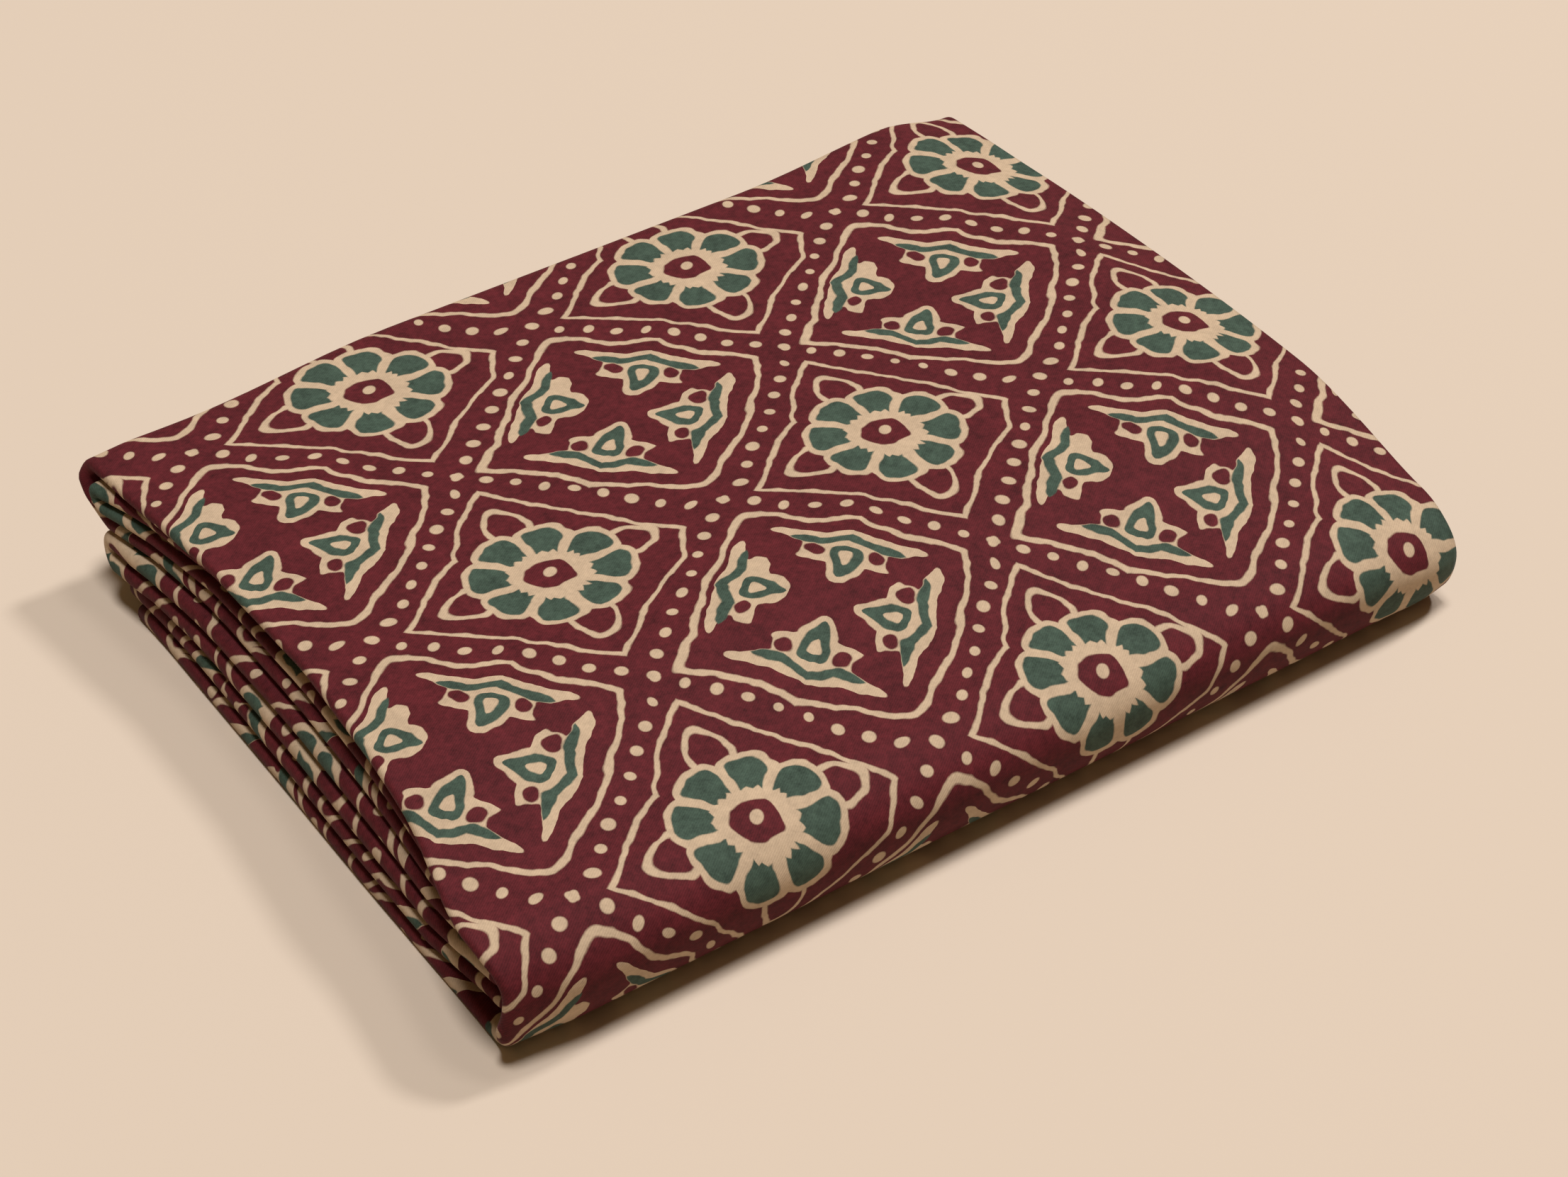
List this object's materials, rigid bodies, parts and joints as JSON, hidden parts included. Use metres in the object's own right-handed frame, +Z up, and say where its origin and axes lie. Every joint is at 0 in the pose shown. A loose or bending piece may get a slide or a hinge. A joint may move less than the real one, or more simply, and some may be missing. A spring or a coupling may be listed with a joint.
{
  "type": "folded ajrakh cloth",
  "caption": "Printed cotton cloth folded into a flat rectangular pack, layer upon layer, with rounded folds at the front and stacked ridges on the left side.",
  "frame": {"origin": "under the middle of the pack, on the surface it rests on", "axes": "+X along the long front fold to the free edges on the right, +Y from the front fold to the back, +Z up through the layers"},
  "size_m": [0.3645, 0.2898, 0.047],
  "materials": {
    "ajrakh_cotton": "soft cotton satin, printed in maroon, cream and teal"
  },
  "bodies": {
    "root": {"folded_cloth": "ajrakh_cotton"}
  },
  "joints": []
}
